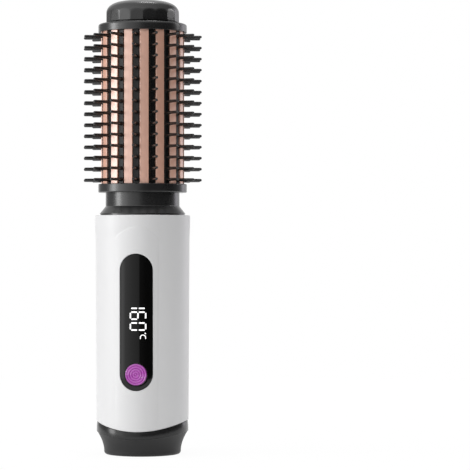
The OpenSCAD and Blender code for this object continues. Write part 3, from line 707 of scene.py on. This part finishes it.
columns = []
for facet in range(facets):
    for k in range(facet_steps):
        s = -cos(pi * k / facet_steps)
        columns.append((facet + 0.5 * s) * facet_pitch)
rings = []
for inward, rise in quarter_round(tip_edge, (90, 60, 30, 0)):
    rings.append([on_ring(a + facet_turn, facet_limit(a) - inward, tip_low + rise)
                  for a in columns])
for r, z in dome(dome_r, dome_h, tip_high - dome_h, dome_steps):
    rings.append([on_ring(a + facet_turn, tip_radius(r, a), z) for a in columns])
inner = dome(cavity_r, cavity_h, cavity_low, cavity_steps)[::-1]
for r, z in inner + [(tip_bore, cavity_low), (tip_bore, tip_low)]:
    rings.append([on_ring(a + facet_turn, r, z) for a in columns])
tip = new_piece("cool_tip_shell", *join_rings(rings), "gloss_black")
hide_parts("cool_tip")

# %% [markdown]
# ## Collar, flange and neck
#
# These three are turned shapes. The collar holds the upper end of the barrel, the flange carries
# it, and the neck goes down into the handle with a conical skirt over the handle's edge. A turned
# outline with small rounds on its corners is all that they need: the rounds catch the light and
# draw the thin bright lines that tell the eye where an edge is.

# %% Sizes of the collar, the flange and the neck
barrel_low, barrel_high = 126.7, 197.9
ring_r = 20.8
sleeve_in, sleeve_out = 13.3, 15.3
collar_sleeve_low, collar_plate, collar_shoulder, collar_top = 195.9, 200.4, 201.75, 202.1
collar_top_r, snap_r = 17.5, 15.2
flange_low, flange_sleeve_top = 122.7, 129
lead_hole = 4.5
handle_top = 112.0
neck_low, neck_ceiling, neck_in = 106.7, 119.5, 14
plug_r, groove_r, neck_r = 19.55, 19.8, 17.35
skirt_r, skirt_low, skirt_edge, skirt_top = 20.1, 112.6, 112.8, 116.25
print("the neck is", 2 * neck_r, "mm across under a flange of", 2 * ring_r)

# %% Turn the collar, the flange and the neck
collar_outline = round_corners([
    (0, barrel_high, 0), (sleeve_in, barrel_high, 0), (sleeve_in, collar_sleeve_low, 0.2),
    (sleeve_out, collar_sleeve_low, 0.2), (sleeve_out, barrel_high, 0),
    (ring_r, barrel_high, 0.2), (ring_r, collar_shoulder, 1.0), (collar_top_r, collar_top, 0.1),
    (snap_r, collar_top, 0), (snap_r, cavity_low, 0.2), (sleeve_in, cavity_low, 0.2),
    (sleeve_in, collar_plate, 0), (0, collar_plate, 0)])
flange_outline = round_corners([
    (lead_hole, flange_low, 0), (ring_r, flange_low, 0.45), (ring_r, barrel_low, 0.45),
    (sleeve_out, barrel_low, 0), (sleeve_out, flange_sleeve_top, 0.2),
    (sleeve_in, flange_sleeve_top, 0.2), (sleeve_in, barrel_low, 0),
    (lead_hole, barrel_low, 0)], steps=5)
neck_outline = round_corners([
    (neck_in, neck_low, 0), (plug_r, neck_low, 0.2), (plug_r, handle_top, 0),
    (groove_r, handle_top, 0), (groove_r, skirt_low, 0), (skirt_r, skirt_low, 0.05),
    (skirt_r, skirt_edge, 0.1), (neck_r, skirt_top, 0.5), (neck_r, flange_low, 0),
    (lead_hole, flange_low, 0), (lead_hole, neck_ceiling, 0), (neck_in, neck_ceiling, 0.5)],
    steps=5)
for piece_name, outline, node in (("tip_collar_ring", collar_outline, "tip_collar"),
                                  ("barrel_flange", flange_outline, "barrel_base_ring"),
                                  ("neck", neck_outline, "neck_collar")):
    piece = new_piece(piece_name, *join_rings(turned(outline)), "gloss_black")
    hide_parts(node)

# %% [markdown]
# ## Heated barrel
#
# The barrel is an aluminium extrusion with sixteen lands. Between them are T-slots that hold the
# bristle strips. An extrusion has the same section all along, so one closed outline is drawn and
# pulled up. Each land's two edges are rounded, because a real land has no knife edge on it: hair
# slides over it.

# %% Draw the barrel's outline
barrel_r, barrel_bore, barrel_turn = 19.5, 15.4, -1.0
slots, land_steps = 16, 12
slot_pitch = 360 / slots
# The slot's mouth is widest between the rounded edges of two lands
mouth_widest, mouth_half, mouth_r, lip_under_r = 1.93, 1.65, 19.15, 18.45
slot_half, slot_floor_r = 2.5, 16.7


def slot_corners():
    """One T-slot that opens outward, as (outward, sideways, rounding)."""
    half = [(barrel_r, mouth_widest, 0.35), (mouth_r, mouth_half, 0.2),
            (lip_under_r, mouth_half, 0.05), (lip_under_r, slot_half, 0.05),
            (slot_floor_r, slot_half, 0.1)]
    return [(o, -s, r) for o, s, r in half] + [(o, s, r) for o, s, r in half[::-1]]


def barrel_outline():
    """Slots and lands in turn, once round the barrel."""
    corners = []
    edge_angle = degrees(asin(mouth_widest / barrel_r))
    for k in range(slots):
        a = radians(-90 + barrel_turn + k * slot_pitch)
        for out, side, rounding in slot_corners():
            corners.append((out * cos(a) - side * sin(a),
                            out * sin(a) + side * cos(a), rounding))
        for s in range(1, land_steps):
            b = a + radians(edge_angle + (slot_pitch - 2 * edge_angle) * s / land_steps)
            corners.append((barrel_r * cos(b), barrel_r * sin(b), 0))
    return round_corners(corners, steps=3)


outer = barrel_outline()
bore = circle(0, 0, barrel_bore, 120)
print("barrel outline has", len(outer), "points")

# %% Pull the outline up
end_strip = 0.3
wall_steps = 6

levels = spaced(barrel_low, barrel_high, wall_steps)
levels = sorted(levels + [barrel_low + end_strip, barrel_high - end_strip])
barrel = new_piece("barrel_lands", *gather(
    upright(outer, levels), upright(bore, (barrel_low, barrel_high)),
    flat_sheet([outer, bore], barrel_low), flat_sheet([outer, bore], barrel_high)),
    "rose_gold", crease=50)
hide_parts("heat_barrel")

# %% [markdown]
# ## Handle
#
# The handle is a white moulded tube. It widens a little towards its top edge, where a rim flares
# out. Its front is flatter than the rest, because it belongs to a narrower cylinder that lies
# further forward, and it fades out in an arch below the rim. The lower edge is a wavy seam: it is
# the cut of a big cylinder that lies crosswise.
#
# A Boolean could cut the recess for the window, but it leaves long thin triangles, and gloss shows
# them. Here the grid of the tube stops at a rectangle round the window, and loops run from that
# rectangle inward until they have the window's pill shape. Then they roll over the edge.

# %% Driving sizes of the handle
handle_r, shell_bore = 21.6, 19.6
widening, widening_len = 0.46, 88
flare_low, flare_len, rim_flare, front_flare = 100.2, 7.6, 0.29, -0.18
front_half, front_crown, front_reach = 10.0, 0.45, 60
step_blend, step_height, step_width = 0.02, 0.12, 0.04
seam_front, seam_rise = 11.8, 4.3


def arc_radius(half, rise):
    """Radius of an arc that rises by this much over this half width."""
    return (half ** 2 + rise ** 2) / (2 * rise)


seam_r = arc_radius(handle_r, seam_rise)
front_drop = handle_r - sqrt(handle_r ** 2 - front_half ** 2) + front_crown
front_less = handle_r - arc_radius(front_half, front_drop)
front_axis = -front_crown - front_less
print("the seam is an arc of", round(seam_r, 1), "mm")
print("the front's axis lies", round(-front_axis, 2), "mm forward")

# %% The handle's radius in every direction
def ease(t):
    """Goes softly from 0 to 1 with its input, and stays there."""
    t = min(1, max(0, t))
    return t * t * (3 - 2 * t)


def tube_radius(z):
    """Radius of the plain tube, which widens upwards."""
    return handle_r + widening * min(1, max(0, (z - seam_front) / widening_len))


def shell_radius(angle, z):
    """Outer radius of the handle at an angle from the front in degrees, and a height."""
    flare = ease((z - flare_low) / flare_len)
    rim = tube_radius(z) + rim_flare * flare
    if abs(angle) > front_reach:
        return rim
    a = radians(angle)
    arc = tube_radius(z) - front_less + front_flare * flare
    front = -front_axis * cos(a) + sqrt(arc ** 2 - (front_axis * sin(a)) ** 2)
    return blend_high(rim, front, step_blend) + step_height * ease((front - rim) / step_width)


def seam_height(x):
    """Height of the handle's lower edge at a place across."""
    return seam_front + seam_r - sqrt(seam_r ** 2 - x * x)


def on_shell(x, z):
    """The point of the outer surface in front, at a place across and a height."""
    a = 0.0
    # Each pass comes closer to the angle at which the surface lies that far across
    for _ in range(12):
        a = asin(x / shell_radius(degrees(a), z))
    return (x, -shell_radius(degrees(a), z) * cos(a), z)


# %% The window's pill shape
window_w, window_len, window_mid, window_t = 15.3, 63.2, 62.4, 1.2
window_gap, window_ledge, window_sunk = 0.1, 1.3, 0.08
window_half = window_w / 2
straight = (window_len - window_w) / 2
recess_half = window_half + window_gap
opening_half = window_half - window_ledge
window_face_r = tube_radius(window_mid) - front_less - window_sunk
window_back_r = window_face_r - window_t


def pill_point(x, z, reach):
    """The point at a distance from the pill's middle line, in the direction of a given point."""
    middle = min(max(z, window_mid - straight), window_mid + straight)
    away = hypot(x, z - middle)
    return x / away * reach, middle + (z - middle) / away * reach


def arc_y(x, radius, axis=0.0):
    """How far forward a cylinder reaches at a place across."""
    return axis - sqrt(radius ** 2 - x * x)


print("the window's face is an arc of", round(window_face_r, 1), "mm")

# %% Rows and columns of the handle's grid
patch_angle, patch_low, patch_high = 27.0, 27.0, 98.0
front_steps, side_steps = 90, 124
patch_steps, top_steps, low_steps = 48, 54, 8
seam_round, top_round = 0.35, 0.6

# The columns stand close beside the rectangle, where the flatter front ends
beside_patch = [patch_angle, 27.2, 27.4, 27.6, 27.8, 28.0, 28.3, 28.8, 29.6, 31.0]
side_from = beside_patch[-1]
side_columns = spaced(side_from, 360 - side_from, side_steps)[1:-1]
angles = beside_patch + side_columns + [360 - a for a in beside_patch[::-1]]
angles = [a - 360 if a > 180 else a for a in angles]
angles += spaced(-patch_angle, patch_angle, front_steps)[1:-1]
patch_columns = {k for k, a in enumerate(angles) if abs(a) <= patch_angle + 1e-6}

straight_top = handle_top - top_round
rows_patch = spaced(patch_low, patch_high, patch_steps)
rows_top = spaced(patch_high, straight_top, top_steps)[1:]
print("the handle's grid has", len(angles), "columns")

# %% Rings of the tube, up the outside and down the inside
seam_level, bore_row = 13, 105.0

rings = []
for inward, rise in quarter_round(seam_round, (90, 60, 30, 0)):
    ring = []
    for angle in angles:
        radius = shell_radius(angle, seam_level) - inward
        height = seam_height(radius * sin(radians(angle)))
        ring.append(on_ring(angle, radius, height + rise))
    rings.append(ring)
seam_ring = rings[-1]
for k in range(1, low_steps):
    ring = []
    for angle, point in zip(angles, seam_ring):
        z = point[2] + (patch_low - point[2]) * k / low_steps
        ring.append(on_ring(angle, shell_radius(angle, z), z))
    rings.append(ring)
outer_patch = set(range(len(rings), len(rings) + len(rows_patch)))
for z in rows_patch + rows_top:
    rings.append([on_ring(angle, shell_radius(angle, z), z) for angle in angles])
for inward, drop in quarter_round(top_round, (22.5, 45, 67.5, 90)):
    rings.append([on_ring(angle, shell_radius(angle, straight_top) - inward, handle_top - drop)
                  for angle in angles])
for z in (handle_top, bore_row):
    rings.append([on_ring(angle, shell_bore, z) for angle in angles])
inner_patch = set(range(len(rings), len(rings) + len(rows_patch)))
for z in rows_patch[::-1]:
    rings.append([on_ring(angle, shell_bore, z) for angle in angles])
rings.append([on_ring(angle, shell_bore, seam_height(shell_bore * sin(radians(angle))))
              for angle in angles])
print("the handle's grid has", len(rings), "rings")

# %% Leave the rectangle round the window open
def outside_patch(face):
    """False for a face of the rectangle round the window, outside or inside."""
    face_rings = {i // len(angles) for i in face}
    face_columns = {i % len(angles) for i in face}
    in_rows = face_rings <= outer_patch or face_rings <= inner_patch
    return not (in_rows and face_columns <= patch_columns)


tube_points, tube_faces = join_rings(rings)
tube_faces = [face for face in tube_faces if outside_patch(face)]
print("the tube has", len(tube_faces), "faces round the rectangle")

# %% Loops from the rectangle to the window's edge
edge_roll = 0.15
shares_outside = spaced(0, 1, 8)[1:-1] + [0.94, 1.0]
shares_inside = (0.6, 0.3)

patch_angles = sorted(angles[k] for k in patch_columns)
border = [(a, patch_low) for a in patch_angles[:-1]]
border += [(patch_angle, z) for z in rows_patch[:-1]]
border += [(a, patch_high) for a in patch_angles[:0:-1]]
border += [(-patch_angle, z) for z in rows_patch[:0:-1]]


def loop_between(share, reach, radius_at, point_at):
    """A loop part of the way from the rectangle to a pill of a given half width."""
    loop = []
    for angle, z in border:
        x = radius_at(angle, z) * sin(radians(angle))
        px, pz = pill_point(x, z, reach)
        loop.append(point_at(x + (px - x) * share, z + (pz - z) * share))
    return loop


def below_shell(x, z, sunk):
    """A point of the outer surface, pushed straight in."""
    px, py, pz = on_shell(x, z)
    return (px, py + sunk, pz)


# %% Close the handle round the window
loops = [[on_ring(a, shell_radius(a, z), z) for a, z in border]]
for share in shares_outside:
    loops.append(loop_between(share, recess_half + edge_roll, shell_radius, on_shell))
for sunk, spread in quarter_round(edge_roll, (30, 60, 90)):
    loops.append(loop_between(1.0, recess_half + spread, shell_radius,
                              lambda x, z: below_shell(x, z, sunk)))
for reach, radius, axis in ((recess_half, window_back_r, front_axis),
                            (opening_half, window_back_r, front_axis),
                            (opening_half, shell_bore, 0.0)):
    loops.append(loop_between(1.0, reach, shell_radius,
                              lambda x, z: (x, arc_y(x, radius, axis), z)))
for share in shares_inside:
    loops.append(loop_between(share, opening_half, lambda angle, z: shell_bore,
                              lambda x, z: (x, arc_y(x, shell_bore), z)))
loops.append([on_ring(a, shell_bore, z) for a, z in border])
handle = new_piece("handle_tube",
                   *gather((tube_points, tube_faces), join_rings(loops, closed=False)),
                   "handle_white", crease=45)
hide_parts("handle_shell")

# %% [markdown]
# ## Window
#
# The window is a curved sheet of black clear plastic over the display. Its face is part of a
# cylinder, and what it reflects must run in straight upright lines. A Boolean for the button's
# hole would break them, so the mesh is made of upright strips, and each strip is drawn in two
# parts, below and above the hole. They are drawn flat, given their thickness and a bevel, and
# bent last.

# %% Draw the window flat, with the hole for the button
button_mid, button_hole = 38.3, 5.25
hole_steps, side_strips = 14, 12
flat_weld = 0.0005

right_columns = [button_hole * sin(radians(t)) for t in spaced(0, 90, hole_steps)]
right_columns += [button_hole + (window_half - button_hole) * sin(radians(t))
                  for t in spaced(0, 90, side_strips)[1:]]
window_columns = [-x for x in right_columns[:0:-1]] + right_columns


def pill_end(x, sign):
    """Height of the pill's upper or lower edge at a place across."""
    return window_mid + sign * (straight + sqrt(max(0, window_half ** 2 - x * x)))


def hole_end(x, sign):
    """Height of the hole's upper or lower edge, or of its middle beside the hole."""
    return button_mid + sign * sqrt(max(0, button_hole ** 2 - x * x))


window_work = bmesh.new()


def strip_between(x0, x1, low, high):
    """A face between two uprights, each from its own low to its own high end."""
    corners = [(x0, low(x0)), (x1, low(x1)), (x1, high(x1)), (x0, high(x0))]
    window_work.faces.new([window_work.verts.new((x, 0, z)) for x, z in corners])


for x0, x1 in zip(window_columns, window_columns[1:]):
    strip_between(x0, x1, lambda x: pill_end(x, -1), lambda x: hole_end(x, -1))
    strip_between(x0, x1, lambda x: hole_end(x, 1), lambda x: pill_end(x, 1))
bmesh.ops.remove_doubles(window_work, verts=window_work.verts, dist=flat_weld)
print("the flat window has", len(window_work.faces), "strips")

# %% Thicken, bevel and bend the window
window_bevel, sharp_corner = 0.08, radians(60)

pushed = bmesh.ops.extrude_face_region(window_work, geom=list(window_work.faces))
for vert in (v for v in pushed["geom"] if isinstance(v, bmesh.types.BMVert)):
    vert.co.y += window_t
bmesh.ops.recalc_face_normals(window_work, faces=window_work.faces)
corner_edges = [e for e in window_work.edges
                if len(e.link_faces) == 2 and e.calc_face_angle() > sharp_corner
                and all(v.co.y < window_t / 2 for v in e.verts)]
bmesh.ops.bevel(window_work, geom=corner_edges, offset=window_bevel, segments=3, profile=0.5,
                affect="EDGES")
for vert in window_work.verts:
    vert.co.y = arc_y(vert.co.x, window_face_r - vert.co.y, front_axis)
window_work.verts.index_update()
window_points = [tuple(v.co) for v in window_work.verts]
window_faces = [tuple(v.index for v in f.verts) for f in window_work.faces]
window_work.free()
window = new_piece("window_pane", window_points, window_faces, "window_black", crease=50)
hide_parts("control_window")

# %% [markdown]
# ## Button
#
# The button is one round moulding with fine rings on its face, so that a thumb finds it. It moves
# in and out through the window, so it rides on its own body. The rings are real beads in the
# outline and not a bump: their slopes have to catch the lamps.

# %% Turn the button about its own axis
button_r, button_face_y, button_back_y = 4.95, 22.36, 18.5
rim_width, rim_y, side_y = 0.35, 22.15, 21.9
stop_r, stop_y = button_r + 0.75, 19.5
ring_pitch, ring_depth = 1.15, 0.4
face_steps, button_steps = 120, 96

face = []
for x in spaced(0, button_r - rim_width, face_steps):
    bead = abs(cos(pi * x / ring_pitch)) ** 0.7
    face.append((x, button_face_y - ring_depth * (1 - bead), 0))
button_outline = round_corners([(0, button_back_y, 0)] + face + [
    (button_r - 0.05, rim_y, 0.12), (button_r, side_y, 0.1), (button_r, stop_y, 0),
    (stop_r, stop_y, 0.1), (stop_r, button_back_y, 0.1)], steps=3)
rings = []
for r, out in button_outline:
    rings.append([(x, -out, button_mid + z) for z, x in circle(0, 0, r, button_steps)])
button = new_piece("push_button", *join_rings(rings), "button_purple", body="button", crease=60)
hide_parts("power_button")

# %% [markdown]
# ## Glossy band and foot
#
# Under the white handle a glossy band follows the wavy seam, and below it the foot tapers down to
# a smaller round bottom. Both wavy edges depend on how far across a point lies, so each upright
# column gets its own outline, and the outlines are joined round the brush. An upright face on the
# band would mirror nothing but the white floor, so it leans back a little towards its upper edge
# and catches the lamps and the dark cloth. The underside has the charging port and two recessed
# screws.

# %% Band between the two wavy edges
band_r, band_bore = 21.5, 19.35
band_front, band_rise = 8.3, 2.6
face_lean, face_from, face_to, lean_steps = 0.24, 0.25, 0.97, 8
seam_gap = 0.25
band_edge_r = arc_radius(band_r, band_rise)


def band_edge(x):
    """Height of the lower wavy edge at a place across."""
    return band_front + band_edge_r - sqrt(band_edge_r ** 2 - x * x)


def seam_with_gap(x):
    """Height of the band's upper edge, which leaves a thin gap below the handle."""
    return seam_front + seam_r - sqrt((seam_r + seam_gap) ** 2 - x * x)


def columns_to_rings(outline_at, steps=160):
    """Rings from an outline that changes with the angle from the front."""
    turns = [360 * k / steps for k in range(steps)]
    outlines = [outline_at(radians(angle)) for angle in turns]
    return [[on_ring(angle, *outline[i]) for angle, outline in zip(turns, outlines)]
            for i in range(len(outlines[0]))]


def band_outline(a):
    """One section of the band, whose face leans back towards its upper edge."""
    far, near = band_r * sin(a), band_bore * sin(a)
    low, high = band_edge(far), seam_with_gap(far)
    shares = spaced(face_from, face_to, lean_steps)
    face = [(band_r - face_lean * (k / lean_steps) ** 2, low + (high - low) * share, 0)
            for k, share in enumerate(shares)]
    return round_corners(
        [(band_bore, band_edge(near), 0), (band_r, low, 0.15)] + face +
        [(face[-1][0], high, 0.08), (band_bore, seam_with_gap(near), 0)], steps=4)


band = new_piece("glossy_band", *join_rings(columns_to_rings(band_outline)), "band_black")
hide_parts("base_ring")

# %% Outline of the foot in every direction
foot_r, lip_r, foot_corner, foot_sweep = 18.0, 21.25, 1.4, 1.85
cup_r, spigot_r, spigot_top, cup_floor = 16.5, 19.3, 18.5, 2.0
foot_side_steps = 24


def foot_outline(a):
    """One section of the foot, from its flat bottom over its side and down inside the cup."""
    lip_height = band_edge(lip_r * sin(a))
    path = [(foot_r - inward, rise)
            for rise, inward in quarter_round(foot_corner, range(0, 90, 15))]
    path += [(foot_r + (lip_r - foot_r) * u ** foot_sweep,
              foot_corner + (lip_height - foot_corner) * u)
             for u in spaced(0, 1, foot_side_steps)[:-1]]
    # The lip ends in a small bevel under the band
    path += [(lip_r - 0.02, lip_height - 0.12), (lip_r - 0.15, lip_height - 0.02)]
    path.append((spigot_r, band_edge(spigot_r * sin(a))))
    path += [(spigot_r, spigot_top), (cup_r, spigot_top), (cup_r, cup_floor)]
    return path


foot_rings = columns_to_rings(foot_outline)
bottom_loop, cup_loop = ([(x, y) for x, y, z in ring] for ring in (foot_rings[0], foot_rings[-1]))
print("the foot's side has", len(foot_rings), "rings")

# %% Underside, floor and bosses of the foot
port_w, port_h, port_steps = 9.5, 3.8, 12
screw_x, screw_r, recess_r, recess_top = 13.0, 1.4, 2.6, 3.0
boss_r, boss_top = 3.6, 8.0
# Two ribs carry the charging board
rib_half, rib_y, rib_t, rib_top = 6.0, 8.0, 1.5, 10.9


def port_slot(width, height, steps):
    """A lying pill, for the charging port."""
    r, half = height / 2, (width - height) / 2
    return [(side * (half + r * cos(radians(t))), side * r * sin(radians(t)))
            for side in (1, -1) for t in spaced(-90, 90, steps)]


port = port_slot(port_w, port_h, port_steps)
recesses = [circle(side * screw_x, 0, recess_r, 36) for side in (-1, 1)]
bosses = [circle(side * screw_x, 0, boss_r, 48) for side in (-1, 1)]
parts = [join_rings(foot_rings, closed=False),
         flat_sheet([bottom_loop, port] + recesses, 0.0),
         flat_sheet([cup_loop, port] + bosses, cup_floor),
         upright(port, (0.0, cup_floor))]
for side, recess, boss in zip((-1, 1), recesses, bosses):
    hole = circle(side * screw_x, 0, screw_r, 36)
    parts += [join_rings([level(recess, 0.0), level(recess, recess_top),
                          level(hole, recess_top), level(hole, boss_top)], closed=False),
              upright(boss, (cup_floor, boss_top)),
              flat_sheet([boss, hole], boss_top)]
    near, far = side * rib_y - rib_t / 2, side * rib_y + rib_t / 2
    rib = [(-rib_half, near), (rib_half, near), (rib_half, far), (-rib_half, far)]
    parts.append(upright(rib, (cup_floor, rib_top)))
    parts += [(level(rib, height), [(0, 1, 2, 3)]) for height in (rib_top, cup_floor)]
foot = new_piece("foot_cup", *gather(*parts), "base_grey")
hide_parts("base_cap")
